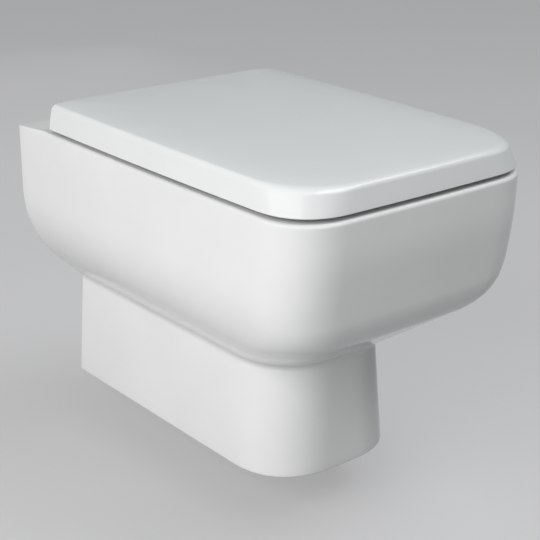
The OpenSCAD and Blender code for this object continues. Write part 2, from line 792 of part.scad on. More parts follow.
module stud_nuts() {
  color(steel)
    for (side = [-1, 1])
      difference() {
        translate([side * bolt_pitch / 2, washer_y, 0]) rotate([90, 0, 0])
          cylinder(h = wall_nut_h, d = wall_nut / cos(30), $fn = 6);
        along_y(side * bolt_pitch / 2, 0, washer_y + over, nut_y - over, shank_d + 2 * fit);
      }
}

seal_lip = 5;
inlet_seal_l = 16;
outlet_seal_l = 12;
outlet_seal_y = spigot_land + 4;

module inlet_seal() {
  color(rubber) difference() {
    along_y(0, inlet_rise, -2, -2 - inlet_seal_l, inlet_bore - 2 * fit);
    along_y(0, inlet_rise, over, -3 - inlet_seal_l, inlet_bore - 2 * seal_lip);
  }
}

module outlet_seal() {
  color(rubber) difference() {
    along_y(0, outlet_z, -outlet_seal_y, -outlet_seal_y - outlet_seal_l, spigot_d + 2 * seal_lip);
    along_y(0, outlet_z, over, -outlet_seal_y - outlet_seal_l - over, spigot_neck + 2 * fit);
  }
}

ceramic_pan();
seat_ring();
lid();
seat_buffers();
lid_buffers();
left_hinge_plate();
right_hinge_plate();
left_hinge_post();
right_hinge_post();
plate_gaskets();
hinge_bolts();
hinge_plugs();
hinge_nuts();
post_bushes();
seat_damper_body();
seat_damper_cap();
seat_damper_rotor();
lid_damper_body();
lid_damper_cap();
lid_damper_rotor();
seat_pin();
lid_pin();
wall_studs();
stud_sleeves();
stud_washers();
stud_nuts();
inlet_seal();
outlet_seal();
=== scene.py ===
import json
import math

import bmesh
import bpy
from mathutils import Matrix, Vector
from mathutils.bvhtree import BVHTree
from mathutils.interpolate import poly_3d_calc

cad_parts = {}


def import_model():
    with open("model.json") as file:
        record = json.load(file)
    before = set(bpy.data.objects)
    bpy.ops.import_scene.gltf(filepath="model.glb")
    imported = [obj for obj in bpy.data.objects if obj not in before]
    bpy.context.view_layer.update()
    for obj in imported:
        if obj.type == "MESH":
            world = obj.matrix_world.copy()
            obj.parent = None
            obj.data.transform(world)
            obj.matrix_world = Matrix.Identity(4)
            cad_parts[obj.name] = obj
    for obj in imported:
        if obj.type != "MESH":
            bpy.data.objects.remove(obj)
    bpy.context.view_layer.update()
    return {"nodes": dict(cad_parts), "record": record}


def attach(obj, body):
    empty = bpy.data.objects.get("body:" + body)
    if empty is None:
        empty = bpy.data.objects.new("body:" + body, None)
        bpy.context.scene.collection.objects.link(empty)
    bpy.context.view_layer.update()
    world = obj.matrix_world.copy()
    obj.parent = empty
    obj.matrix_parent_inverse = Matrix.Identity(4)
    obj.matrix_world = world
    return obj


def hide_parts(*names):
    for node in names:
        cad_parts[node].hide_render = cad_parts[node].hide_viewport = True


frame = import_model()

# Shape values, in millimetres, the same as in the part's source

PAN_DEPTH = 521
WALL_WIDTH = 333
FRONT_WIDTH = 331
SIDE_BOW = 4
FRONT_BOW = 3
CORNER = 63
SQUARENESS = 2.38
RIM_Z = 80
RIM_ROUND = 4
SIDE_TURN = 140
SIDE_BELLY = 135
FRONT_TURN = 137
FRONT_BELLY = 60
FRONT_LEAN = 14
FOOT_DROP = 344
CREASE_DROP = 213
FRONT_CREASE = 211
CREASE_ROUND = 13
FOOT_WIDTH = 178
FOOT_DEPTH = 400
FOOT_FLARE = 9
FOOT_LEAD = 5
FOOT_CORNER = 78
FOOT_EDGE = 3
WALL = 12
DECK = 14
DECK_FALL = 4.5
DECK_LEVEL = 60
BACK_WALL = 14
BACK_WALL_DROP = 34
BOWL_REAR = 150
RIM_FRONT = 42
BOWL_WIDTH = 244
BOWL_EDGE = 7
BOWL_DEPTH = 286
BOWL_WALL = 10
SUMP_REAR = 285
SUMP_SIZE = 88
TRAP_BORE = 70
TRAP_WALL = 9
WATER_Z = -88
WATER_SEAL = 50
OUTLET_Z = -100
SPIGOT_D = 102
SPIGOT_LAND = 12
SPIGOT_NECK = 100
SPIGOT_BORE = 85
SPIGOT_LENGTH = 70
INLET_Z = 35
INLET_BORE = 55
INLET_WALL = 7
BOLT_PITCH = 180
BOLT_HOLE = 22
HINGE_PITCH = 155
AXIS_Y = -83
AXIS_Z = 98
DECK_HOLE = 14
POST_SIZE = 18
PIN_D = 8
DAMPER_D = 14
DAMPER_L = 28
DAMPER_CAP = 4
BARREL_D = 19
BARREL_L = 38
FIT = 0.05
SIDE_GAP = 0.5
LID_BOTTOM = 85
LID_INSET = 0.8
LID_FRONT_INSET = 2.5
LID_REAR = 73
LID_HEIGHT = 28
LID_LEAN = 4.2
LID_EDGE = 7.5
LID_SHOULDER = 30
LID_CROWN = 3
CROWN_POWER = 6
LID_FALL = 2
LID_CORNER = 89
CORNER_GROWN = 10
REAR_LEAN = 0.05
LID_WALL = 4.5
LID_CEILING = 27
SEAT_BOTTOM = 87
SEAT_H = 17
SEAT_GAP = 3
SEAT_REAR = 99
SEAT_HOLE_REAR = 172
SEAT_FRONT = 62
SEAT_HOLE_WIDTH = 218

FRONT_Y = -(PAN_DEPTH - FRONT_BOW)
FOOT_SIDE_IN = (WALL_WIDTH - FOOT_WIDTH) / 2
FOOT_FRONT_IN = PAN_DEPTH - FOOT_DEPTH

# Small rounds of the visible meshes, in millimetres

BACK_ROUND = 2.5
HOLLOW_ROUND = 6
SPIGOT_ROUND = 1
OUTLET_FLARE = 2.5
INLET_FLARE = 2
BOLT_FLARE = 1.5
DECK_FLARE = 1.2
LIP_ROUND = 1.2
LIP_FLARE = 0.8
CEILING_ROUND = 3
LID_INNER_CORNER = 3
BARREL_ROUND = 0.8
SEAT_BACK_ROUND = 6

# Shares and powers of the curves of pan, lid, bowl and seat

PAN_CORNER_SHRINK = 0.7
LID_CORNER_SHRINK = 0.6
BOWL_NARROWS = 0.76
BOWL_POWER = 2.5
SUMP_ROUND = 0.8
SUMP_FLAT = 0.1
SEAT_HOLE_POWER = 2.4

# How the trapway runs, and how far pieces reach into each other, in millimetres

TRAP_ROOM = 2
DIP_AHEAD = 63
DIP_SLOPE = 3
CREST_Y = -134
CREST_RISE = 35
SPIGOT_LEAD = 8
NECK_REACH = 6
HORN_REACH = 20
HORN_BORE_REACH = 40
WEB_IN = 0.4
LID_WEB = 7
SEAT_WEB = 8
SEAT_WEB_RISE = 2
SEAT_WEB_DROP = 3
NOTCH_ROOM = 3
NOTCH_IN = 2
OVER = 1.0

# How fine the meshes are

ROUND_STEPS = 6
CREASE_BAND = 14
BELOW_CREASE = 12
SKIN_COUNTS = dict(sides=40, turns=40, nose=40, rear=24)
HOLLOW_COUNTS = dict(sides=30, turns=20, nose=14, rear=14)
LID_COUNTS = dict(sides=40, turns=32, nose=28, rear=24)
SEAT_COUNTS = dict(sides=44, turns=30, nose=30, rear=36)
PATH_STEPS = 48
EDGE_STEPS = 24
BOWL_SIDES = 112
BOWL_LEVELS = 90
BOWL_SPACING = 0.9
TUBE_SIDES = 72
LATHE_SIDES = 96
BOLT_SIDES = 64
HINGE_HOLE_SIDES = 48
CROWN_RINGS = 26

# How meshes are finished, with lengths in metres. A face keeps the shading of the pan's skin where
# it lies within ON_SKIN of it and the cosine between the two is at least SAME_WAY.

MM = 0.001
WELD = 0.00001
ON_SKIN = 0.00005
SAME_WAY = 0.95
SMOOTH_ANGLE = math.radians(32.0)
AREA_WEIGHT = 100


def mix(a, b, t):
    return a + (b - a) * t


def smooth(t):
    return t * t * (3 - 2 * t)


def round_in(d, r):
    """How far a quarter round of radius r has drawn in at depth d below its top."""
    return r - math.sqrt(max(0.0, r * r - (r - d) ** 2)) if d < r else 0.0


def steps(a, b, n):
    """n + 1 evenly spaced values from a to b."""
    return [mix(a, b, i / n) for i in range(n + 1)]


def quarter(n):
    """The n + 1 angles of a quarter turn."""
    return steps(0, math.pi / 2, n)


def corner_arc(a, b, c, r, n):
    """Points of an arc of radius r that rounds the corner b between a and c."""
    u, v = (a - b).normalized(), (c - b).normalized()
    half = math.acos(max(-1.0, min(1.0, u.dot(v)))) / 2
    middle = b + (u + v).normalized() * r / math.sin(half)
    first = b + u * r / math.tan(half) - middle
    side = u.y * v.x - u.x * v.y
    turn = (math.pi - 2 * half) * (1 if side > 0 else -1)
    out = []
    for i in range(n + 1):
        w = turn * i / n
        out.append(middle + Vector((first.x * math.cos(w) - first.y * math.sin(w),
                                    first.x * math.sin(w) + first.y * math.cos(w))))
    return out


def round_path(points, radii, n):
    """A path through points with its inner corners rounded by radii."""
    p = [Vector(q) for q in points]
    out = [p[0]]
    for i in range(1, len(p) - 1):
        out += corner_arc(p[i - 1], p[i], p[i + 1], radii[i - 1], n)
    return out + [p[-1]]


def lookup(x, table):
    """Value at x in a table of (x, value) pairs, straight between them."""
    if x <= table[0][0]:
        return table[0][1]
    for (x0, v0), (x1, v1) in zip(table, table[1:]):
        if x <= x1:
            return mix(v0, v1, (x - x0) / (x1 - x0)) if x1 > x0 else v1
    return table[-1][1]


# How far the pan has drawn in at each depth, on its sides and at its front
side_table = [(p.y, p.x) for p in round_path(
    [(0, 0), (0, SIDE_TURN), (FOOT_SIDE_IN, CREASE_DROP), (FOOT_SIDE_IN - FOOT_FLARE, FOOT_DROP)],
    [SIDE_BELLY, CREASE_ROUND], PATH_STEPS)]
front_table = [(p.y, p.x) for p in round_path(
    [(0, 0), (1, FRONT_TURN / 3), (FRONT_LEAN, FRONT_TURN), (FOOT_FRONT_IN, FRONT_CREASE),
     (FOOT_FRONT_IN - FOOT_LEAD, FOOT_DROP)],
    [FRONT_BELLY * 5, FRONT_BELLY, CREASE_ROUND], PATH_STEPS)]


def half_at(y, share):
    """Half-width of the plan at y, with a share of the side bow."""
    t = min(1.0, -y / PAN_DEPTH)
    return mix(WALL_WIDTH, FRONT_WIDTH, t) / 2 + 4 * SIDE_BOW * share * t * (1 - t)


def outline(back, front, side_in, corner, share, fillet, sides, turns, nose, rear):
    """Plan outline from the back edge round the front, its back corners rounded by fillet.

    The last four are the steps along a side, round a front corner, and across front and back.
    """
    start = front + corner
    rows = [back - fillet * (1 - math.cos(a)) for a in quarter(ROUND_STEPS)][:-1] if fillet else []
    rows += steps(back - fillet, start, sides)
    left = [(-(half_at(y, share) - side_in - round_in(back - y, fillet)), y) for y in rows]
    for a in quarter(turns)[1:]:
        y = start - corner * math.sin(a) ** (2 / SQUARENESS)
        x = half_at(y, share) - side_in - corner * (1 - max(0.0, math.cos(a)) ** (2 / SQUARENESS))
        left.append((-x, y))
    tip = -left[-1][0]
    tail = -left[0][0]
    points = left + [(x, front) for x in steps(-tip, tip, nose)[1:-1]]
    points += [(-x, y) for x, y in reversed(left)]
    points += [(x, back) for x in steps(tail, -tail, rear)[1:-1]]
    out = []
    for x, y in points:
        w = half_at(y, share) - side_in
        along = (y - back) / (front - back)
        out.append((x, y - FRONT_BOW * along * (1 - (x / w) ** 2)))
    return out


def at_z(points, z):
    return [(x, y, z) for x, y in points]


# Meshes

def make(name, verts, faces):
    """An object from points and faces, with its normals outside."""
    mesh = bpy.data.meshes.new(name)
    mesh.from_pydata(verts, [], faces)
    bm = bmesh.new()
    bm.from_mesh(mesh)
    bmesh.ops.recalc_face_normals(bm, faces=bm.faces)
    bm.to_mesh(mesh)
    bm.free()
    obj = bpy.data.objects.new(name, mesh)
    bpy.context.scene.collection.objects.link(obj)
    return obj


def solid(name, rings):
    """A closed solid through rings of equal length, as an object."""
    m, n = len(rings[0]), len(rings)
    verts = [tuple(c * MM for c in p) for ring in rings for p in ring]
    faces = [tuple(range(m)), tuple((n - 1) * m + i for i in reversed(range(m)))]
    for k in range(n - 1):
        for i in range(m):
            a, b = k * m + i, k * m + (i + 1) % m
            faces.append((a, a + m, b + m, b))
    return make(name, verts, faces)


def ring_solid(name, loops):
    """A closed ring through section loops that follow each other round, as an object."""
    m, n = len(loops[0]), len(loops)
    verts = [tuple(c * MM for c in p) for loop in loops for p in loop]
    faces = []
    for k in range(n):
        for i in range(m):
            a, b = k * m + i, k * m + (i + 1) % m
            c, d = ((k + 1) % n) * m + i, ((k + 1) % n) * m + (i + 1) % m
            faces.append((a, b, d, c))
    return make(name, verts, faces)


def lathe(name, profile, axis, at, n=LATHE_SIDES):
    """A closed solid turned about an axis through at: profile is (place along the axis, radius)."""
    rings = []
    for along, r in profile:
        ring = []
        for i in range(n):
            w = 2 * math.pi * i / n
            c, s = r * math.cos(w), r * math.sin(w)
            p = {"x": (along, c, s), "y": (c, along, s), "z": (c, s, along)}[axis]
            ring.append(tuple(p[k] + at[k] for k in range(3)))
        rings.append(ring)
    return solid(name, rings)


def turned(a, b, r, edge, way):
    """Profile at radius r from a to b whose two ends turn out (way 1) or in (way -1) by edge."""
    sign = 1 if b > a else -1
    arc = [(sign * edge * (1 - math.cos(t)), r + way * edge * (1 - math.sin(t)))
           for t in quarter(ROUND_STEPS)]
    return [(a + x, radius) for x, radius in arc] + [(b - x, radius) for x, radius in reversed(arc)]


def flared(a, b, r, lip):
    """Profile of a bore from a to b whose two mouths open out by lip in a quarter round."""
    sign = 1 if b > a else -1
    return [(a - sign * OVER, r + lip)] + turned(a, b, r, lip, 1) + [(b + sign * OVER, r + lip)]


def rounded(a, b, r, edge):
    """Profile of a bar from a to b whose two ends have a quarter round of radius edge."""
    return turned(a, b, r, edge, -1)


def block(name, low, high):
    """A plain box from corner low to corner high."""
    (x0, y0, z0), (x1, y1, z1) = low, high
    ring = [(x0, y0), (x1, y0), (x1, y1), (x0, y1)]
    return solid(name, [at_z(ring, z0), at_z(ring, z1)])


def boolean(obj, tools, operation):
    """Joins or cuts obj with each tool in turn, and removes the tools."""
    for tool in tools:
        step = obj.modifiers.new("boolean", "BOOLEAN")
        step.operation = operation
        step.solver = "MANIFOLD"
        step.object = tool
        graph = bpy.context.evaluated_depsgraph_get()
        mesh = bpy.data.meshes.new_from_object(obj.evaluated_get(graph))
        obj.modifiers.remove(step)
        old = obj.data
        obj.data = mesh
        bpy.data.meshes.remove(old)
        spent = tool.data
        bpy.data.objects.remove(tool)
        bpy.data.meshes.remove(spent)
    return obj


def finish_mesh(obj):
    """Welds slivers, and shades smooth apart from edges sharper than SMOOTH_ANGLE."""
    bm = bmesh.new()
    bm.from_mesh(obj.data)
    bmesh.ops.remove_doubles(bm, verts=bm.verts, dist=WELD)
    bmesh.ops.dissolve_degenerate(bm, edges=bm.edges, dist=WELD)
    bm.to_mesh(obj.data)
    bm.free()
    obj.data.shade_smooth()
    obj.data.set_sharp_from_angle(angle=SMOOTH_ANGLE)
    weighted = obj.modifiers.new("weighted", "WEIGHTED_NORMAL")
    weighted.keep_sharp = True
    weighted.weight = AREA_WEIGHT
    return obj


def keep_shading(obj, source):
    """Gives the faces of obj that lie on the mesh source the smooth normals that source has there.

    The source's two caps, its only faces with more than four corners, stay flat.
    """
    graph = bpy.context.evaluated_depsgraph_get()
    mesh = bpy.data.meshes.new_from_object(obj.evaluated_get(graph))
    normals = [n.vector.copy() for n in mesh.corner_normals]
    verts = [v.co.copy() for v in source.vertices]
    lean = [v.normal.copy() for v in source.vertices]
    polys = [tuple(p.vertices) for p in source.polygons]
    tree = BVHTree.FromPolygons(verts, polys)

    def lean_at(point):
        place, _, index, _ = tree.find_nearest(point)
        corners = polys[index]
        if len(corners) > 4:
            return lean[min(corners, key=lambda c: (verts[c] - place).length)]
        shares = poly_3d_calc([verts[c] for c in corners], place)
        return sum((lean[c] * w for c, w in zip(corners, shares)), Vector()).normalized()

    found = {}
    for face in mesh.polygons:
        _, normal, index, _ = tree.find_nearest(face.center, ON_SKIN)
        if index is None or len(polys[index]) > 4 or abs(normal.dot(face.normal)) < SAME_WAY:
            continue
        side = math.copysign(1, normal.dot(face.normal))
        for loop in face.loop_indices:
            v = mesh.loops[loop].vertex_index
            if v not in found:
                found[v] = lean_at(mesh.vertices[v].co)
            normals[loop] = found[v] * side
    mesh.normals_split_custom_set(normals)
    obj.modifiers.clear()
    obj.data = mesh
    bpy.data.meshes.remove(source)
    return obj


# The pan

def pan_ring(d, skin, back, fillet, counts):
    """The pan's ring at depth d below the rim, drawn in by skin, or by its own rounded edges."""
    side_in = lookup(d, side_table)
    drawn = min(1.0, side_in / FOOT_SIDE_IN)
    edge = skin if skin else round_in(d, RIM_ROUND) + round_in(FOOT_DROP - d, FOOT_EDGE)
    front = FRONT_Y + lookup(d, front_table) + edge
    corner = mix(CORNER, FOOT_CORNER, drawn) - skin * PAN_CORNER_SHRINK
    ring = outline(back, front, side_in + edge, corner, 1 - drawn, fillet, **counts)
    return at_z(ring, RIM_Z - d)


def pan_skin():
    """The pan's outside as a full solid, with its rings closest round the crease."""
    below, above = CREASE_DROP + CREASE_BAND, CREASE_DROP - CREASE_BAND
    depths = [FOOT_DROP - FOOT_EDGE * (1 - math.cos(a)) for a in quarter(ROUND_STEPS)][:-1]
    depths += steps(FOOT_DROP - FOOT_EDGE, below, 14)[:-1]
    depths += steps(below, above, 36)[:-1]
    depths += steps(above, RIM_ROUND, 110)[:-1]
    depths += [RIM_ROUND * (1 - math.sin(a)) for a in quarter(10)]
    return solid("pan_glaze", [pan_ring(d, 0, 0, BACK_ROUND, SKIN_COUNTS) for d in depths])


def pan_hollow():
    """The room inside the pan, from below the foot up to the deck."""
    turn = DECK + HOLLOW_ROUND
    depths = [FOOT_DROP + OVER] + steps(FOOT_DROP - 1, turn, 60)
    depths += [turn - HOLLOW_ROUND * math.sin(a) for a in quarter(5)][1:]
    rings = []
    for d in depths:
        inner = WALL + round_in(d - DECK, HOLLOW_ROUND) if d < turn else WALL
        rings.append(pan_ring(d, inner, -BACK_WALL, 0.0, HOLLOW_COUNTS))
    return solid("hollow", rings)


def back_mouth():
    """The opening in the pan's back, below the wall that takes the bolts."""
    depths = steps(RIM_Z + BACK_WALL_DROP, CREASE_DROP + BELOW_CREASE, 24) + [FOOT_DROP + OVER]
    half = [(WALL_WIDTH / 2 - lookup(d, side_table) - WALL, RIM_Z - d) for d in depths]
    ring = half + [(-x, z) for x, z in reversed(half)]
    return solid("mouth", [[(x, y, z) for x, z in ring] for y in (OVER, -BACK_WALL - OVER)])


def deck_slope():
    """The wedge that comes off the deck where it falls towards the wall."""
    z = RIM_Z - DECK_FALL * (1 + OVER / DECK_LEVEL)
    ring = [(-DECK_LEVEL, RIM_Z), (OVER, z), (OVER, RIM_Z + DECK), (-DECK_LEVEL, RIM_Z + DECK)]
    return solid("slope", [[(x, y, z) for y, z in ring] for x in (-WALL_WIDTH, WALL_WIDTH)])


def bowl_ring(d, grow):
    """The bowl's ring at depth d below the rim, let out by grow."""
    t = smooth(min(1.0, max(0.0, d) / (BOWL_DEPTH * BOWL_NARROWS)))
    base = SUMP_SIZE / 2
    deep = BOWL_DEPTH + grow
    r = base * SUMP_ROUND
    tuck = math.sqrt(max(SUMP_FLAT, 1 - ((d - deep + r) / r) ** 2)) if d > deep - r else 1.0
    edge = 0.0 if grow else round_in(max(0.0, d), BOWL_EDGE)
    rear_y = mix(-BOWL_REAR, -SUMP_REAR + base, t)
    nose_y = mix(FRONT_Y + RIM_FRONT, -SUMP_REAR - base, t)
    a = (rear_y - nose_y) / 2 * tuck + grow + edge
    b = mix(BOWL_WIDTH / 2, base, t) * tuck + grow + edge
    power = 2 / mix(BOWL_POWER, 2, t)
    out = []
    for i in range(BOWL_SIDES):
        w = 2 * math.pi * i / BOWL_SIDES
        c, s = math.cos(w), math.sin(w)
        out.append((b * math.copysign(abs(c) ** power, c),
                    (rear_y + nose_y) / 2 + a * math.copysign(abs(s) ** power, s), RIM_Z - d))
    return out


def bowl(name, grow, top):
    """The bowl's outside where grow is its wall, up to depth top, or its inside where grow is 0."""
    deep = BOWL_DEPTH + grow
    depths = [deep * (i / BOWL_LEVELS) ** BOWL_SPACING for i in range(BOWL_LEVELS, 0, -1)]
    depths = [d for d in depths if d > (top if grow else BOWL_EDGE) + 0.5]
    if grow:
        return solid(name, [bowl_ring(d, grow) for d in depths + [top]])
    depths += [BOWL_EDGE * (1 - math.sin(a)) for a in quarter(10)]
    rings = [bowl_ring(d, 0) for d in depths]
    rings.append([(x, y, z + OVER) for x, y, z in rings[-1]])
    return solid(name, rings)


def sweep(name, path, r):
    """A tube of radius r along a path of (y, z) points in the plane x = 0."""
    rings = []
    for k, p in enumerate(path):
        run = (path[min(k + 1, len(path) - 1)] - path[max(k - 1, 0)]).normalized()
        ring = []
        for i in range(TUBE_SIDES):
            w = 2 * math.pi * i / TUBE_SIDES
            c, s = r * math.cos(w), r * math.sin(w)
            ring.append((c, p.x + s * run.y, p.y - s * run.x))
        rings.append(ring)
    return solid(name, rings)


# The trapway's middle line: out of the sump, through the dip, over the crest and into the spigot
dip_y = -SUMP_REAR + DIP_AHEAD
dip_z = WATER_Z - WATER_SEAL - TRAP_BORE / 2
crest_z = WATER_Z + TRAP_BORE / 2
trap_path = round_path(
    [(-SUMP_REAR, dip_z), (dip_y, dip_z - DIP_SLOPE), (CREST_Y, crest_z + CREST_RISE),
     (-SPIGOT_LENGTH + SPIGOT_LEAD, OUTLET_Z), (-SPIGOT_LENGTH / 2, OUTLET_Z)],
    [TRAP_BORE / 2 + TRAP_WALL + TRAP_ROOM] * 3, EDGE_STEPS)


def pan():
    """The ceramic pan, with its bowl, trapway, spigot, inlet horn and holes."""
    body = pan_skin()
    skin = body.data.copy()
    boolean(body, [pan_hollow(), back_mouth(), deck_slope()], "DIFFERENCE")
    outlet, inlet = (0, 0, OUTLET_Z), (0, 0, INLET_Z)
    neck, horn = SPIGOT_NECK / 2, INLET_BORE / 2 + INLET_WALL
    spigot = rounded(0, -SPIGOT_LAND, SPIGOT_D / 2, SPIGOT_ROUND)
    spigot += [(-SPIGOT_LAND, neck), (-SPIGOT_LENGTH - NECK_REACH, neck)]
    boolean(body, [
        bowl("bowl_out", BOWL_WALL, DECK / 2),
        sweep("trap_out", trap_path, TRAP_BORE / 2 + TRAP_WALL),
        lathe("spigot", spigot, "y", outlet),
        lathe("inlet", [(-BACK_WALL / 2, horn), (-BOWL_REAR - HORN_REACH, horn)], "y", inlet),
    ], "UNION")
    # These two end inside the trapway and the bowl, so they don't reach past that end
    outlet_bore = flared(0, -SPIGOT_LENGTH, SPIGOT_BORE / 2, OUTLET_FLARE)[:-1]
    inlet_bore = flared(0, -BOWL_REAR - HORN_BORE_REACH, INLET_BORE / 2, INLET_FLARE)[:-1]
    bolt_bore = flared(0, -BACK_WALL, BOLT_HOLE / 2, BOLT_FLARE)
    deck_bore = flared(RIM_Z, RIM_Z - DECK, DECK_HOLE / 2, DECK_FLARE)
    tools = [
        bowl("bowl_in", 0, 0),
        sweep("trap_in", trap_path, TRAP_BORE / 2),
        lathe("outlet_bore", outlet_bore, "y", outlet),
        lathe("inlet_bore", inlet_bore, "y", inlet),
    ]
    for side in (-1, 1):
        bolt, post = (side * BOLT_PITCH / 2, 0, 0), (side * HINGE_PITCH / 2, AXIS_Y, 0)
        tools.append(lathe("bolt_bore", bolt_bore, "y", bolt, BOLT_SIDES))
        tools.append(lathe("deck_bore", deck_bore, "z", post, HINGE_HOLE_SIDES))
    boolean(body, tools, "DIFFERENCE")
    return keep_shading(finish_mesh(body), skin)


# The barrels of lid and seat, on the hinge axis

HINGE_AXIS = (0, AXIS_Y, AXIS_Z)
seat_x1 = HINGE_PITCH / 2 - POST_SIZE / 2 - SIDE_GAP
seat_x0 = seat_x1 - BARREL_L
lid_x0 = HINGE_PITCH / 2 + POST_SIZE / 2 + SIDE_GAP
lid_x1 = lid_x0 + BARREL_L


def add_barrels(body, x0, x1, web_low, web_high):
    """Adds a barrel from x0 to x1 on each side, and its web between two (y, z) corners."""
    for side in (-1, 1):
        middle = side * (x0 + x1) / 2
        half = BARREL_L / 2
        web_half = BARREL_L / 2 - WEB_IN
        barrel = rounded(middle - half, middle + half, BARREL_D / 2, BARREL_ROUND)
        boolean(body, [
            lathe("barrel", barrel, "x", HINGE_AXIS),
            block("web", (middle - web_half, *web_low), (middle + web_half, *web_high)),
        ], "UNION")


def bore_barrels(body, end):
    """Bores one barrel from x = end up, for the damper, and one from -end down, for the pin."""
    damper, pin = DAMPER_D / 2 + FIT, PIN_D / 2 + FIT
    boolean(body, [
        lathe("damper_bore", [(end - OVER, damper), (end + DAMPER_L + DAMPER_CAP, damper)],
              "x", HINGE_AXIS),
        lathe("pin_bore", [(-end + OVER, pin), (-end - DAMPER_L, pin)], "x", HINGE_AXIS),
    ], "DIFFERENCE")


# The lid

def crown_at(inset):
    """Height of the lid's top at a distance inset from its side."""
    return LID_HEIGHT + LID_CROWN * (1 - max(0.0, 1 - inset / (FRONT_WIDTH / 2)) ** CROWN_POWER)


def fall_at(y):
    """Share of its height that the lid keeps at y."""
    return 1 - LID_FALL / LID_HEIGHT * (y / PAN_DEPTH) ** 2


# The lid's section from its lower edge to its shoulder, as points (inset, height)
half_way = LID_SHOULDER / 2
lid_path = round_path([(0, 0), (LID_LEAN, crown_at(LID_LEAN)), (half_way, crown_at(half_way))],
                      [LID_EDGE], EDGE_STEPS)[:-1]
lid_path += [Vector((LID_SHOULDER * t, crown_at(LID_SHOULDER * t))) for t in steps(0.45, 1, 9)
             if LID_SHOULDER * t > lid_path[-1].x + 1]
lid_table = [(p.y, p.x) for p in lid_path]


def lid_ring(inset, height, back_in, fillet, skin=0.0):
    """The lid's ring at a place of its section, drawn in further by skin."""
    grown = min(1.0, inset / CORNER_GROWN)
    corner = mix(CORNER, LID_CORNER, grown) - skin * LID_CORNER_SHRINK
    ring = outline(-LID_REAR - back_in, FRONT_Y + LID_FRONT_INSET + inset + skin,
                   LID_INSET + inset + skin, corner, 1.0, fillet, **LID_COUNTS)
    return [(x, y, LID_BOTTOM + height * fall_at(y)) for x, y in ring]


def lid_outside():
    """The lid as a full solid: its lip, sides, edge, shoulder and crown."""
    rings = []
    for a in quarter(5):
        drawn = LIP_ROUND * (1 - math.sin(a))
        rings.append(lid_ring(0, LIP_ROUND * (1 - math.cos(a)), drawn, BACK_ROUND, drawn))
    first = lid_path[1]
    for t in (0.33, 0.66):
        rings.append(lid_ring(mix(0, first.x, t), mix(LIP_ROUND, first.y, t), 0, BACK_ROUND))
    for p in lid_path[1:]:
        rings.append(lid_ring(p.x, p.y, p.x * REAR_LEAN, BACK_ROUND + min(1.5, p.x * 0.2)))
    edge = rings[-1]
    middle = (FRONT_Y - LID_REAR) / 2
    for s in [1 - i / CROWN_RINGS for i in range(1, CROWN_RINGS)]:
        height = crown_at(mix(FRONT_WIDTH / 2, LID_SHOULDER, s))
        ring = [(x * s, middle + (y - middle) * s) for x, y, z in edge]
        rings.append([(x, y, LID_BOTTOM + height * fall_at(y)) for x, y in ring])
    return solid("lid_shell", rings)


def lid_hollow():
    """The room under the lid, rounded where its sides meet its ceiling."""
    turn_z = LID_CEILING - CEILING_ROUND
    heights = [-OVER, 0] + steps(3, turn_z, 16)
    heights += [turn_z + CEILING_ROUND * math.sin(a) for a in quarter(ROUND_STEPS)][1:]
    rings = []
    for h in heights:
        rise = max(0.0, h - LID_CEILING + CEILING_ROUND)
        turn = CEILING_ROUND - math.sqrt(max(0.0, CEILING_ROUND ** 2 - rise ** 2))
        skin = LID_WALL - (LIP_FLARE if h < 0 else 0.0)
        inset = lookup(h, lid_table) + turn
        rings.append(lid_ring(inset, h, LID_WALL + turn, LID_INNER_CORNER, skin))
    return solid("hollow", rings)


def lid():
    """The lid, open behind between its barrels."""
    body = lid_outside()
    notch_x = lid_x1 + NOTCH_ROOM
    notch = block("notch", (-notch_x, -LID_REAR - LID_WALL - NOTCH_ROOM, LID_BOTTOM - OVER),
                  (notch_x, -LID_REAR + NOTCH_IN, LID_BOTTOM + LID_CEILING - NOTCH_IN))
    boolean(body, [lid_hollow(), notch], "DIFFERENCE")
    add_barrels(body, lid_x0, lid_x1, (AXIS_Y - LID_WEB, AXIS_Z),
                (AXIS_Y + LID_WEB, LID_BOTTOM + LID_CEILING + OVER))
    bore_barrels(body, lid_x0)
    return finish_mesh(body)


# The seat

seat_in = LID_INSET + LID_WALL + SEAT_GAP
seat_nose = FRONT_Y + LID_FRONT_INSET + LID_WALL + SEAT_GAP
hole_nose = seat_nose + SEAT_FRONT
hole_middle = -(SEAT_HOLE_REAR - hole_nose) / 2
hole_length = -SEAT_HOLE_REAR - hole_nose


def rounded_loop(points, times=3):
    """Cuts the corners of a closed loop, so that it turns smoothly."""
    for _ in range(times):
        cut = []
        for p, q in zip(points, points[1:] + points[:1]):
            cut += [p.lerp(q, 0.25), p.lerp(q, 0.75)]
        points = cut
    return points


def seat_section(o, i):
    """The seat's section between its outer edge o and its inner edge i, flat below and crowned."""
    u = (i - o).normalized()
    row = [(o + u * 3, 0), (o + u, 1), (o, 3), (o, 7), (o + u / 2, SEAT_H - 6),
           (o + u * 2.2, SEAT_H - 2), (o + u * 7, SEAT_H), (o.lerp(i, 0.35), SEAT_H),
           (o.lerp(i, 0.6), SEAT_H), (i - u * 16, SEAT_H - 1), (i - u * 6, SEAT_H - 3.5),
           (i - u * 1.5, SEAT_H - 8), (i, SEAT_H - 12), (i - u * 1.5, 1.5), (i - u * 5, 0),
           (i - u * 12, 0), (o.lerp(i, 0.5), 0), (o + u * 9, 0)]
    return [tuple(p) for p in rounded_loop([Vector((q.x, q.y, SEAT_BOTTOM + z)) for q, z in row])]


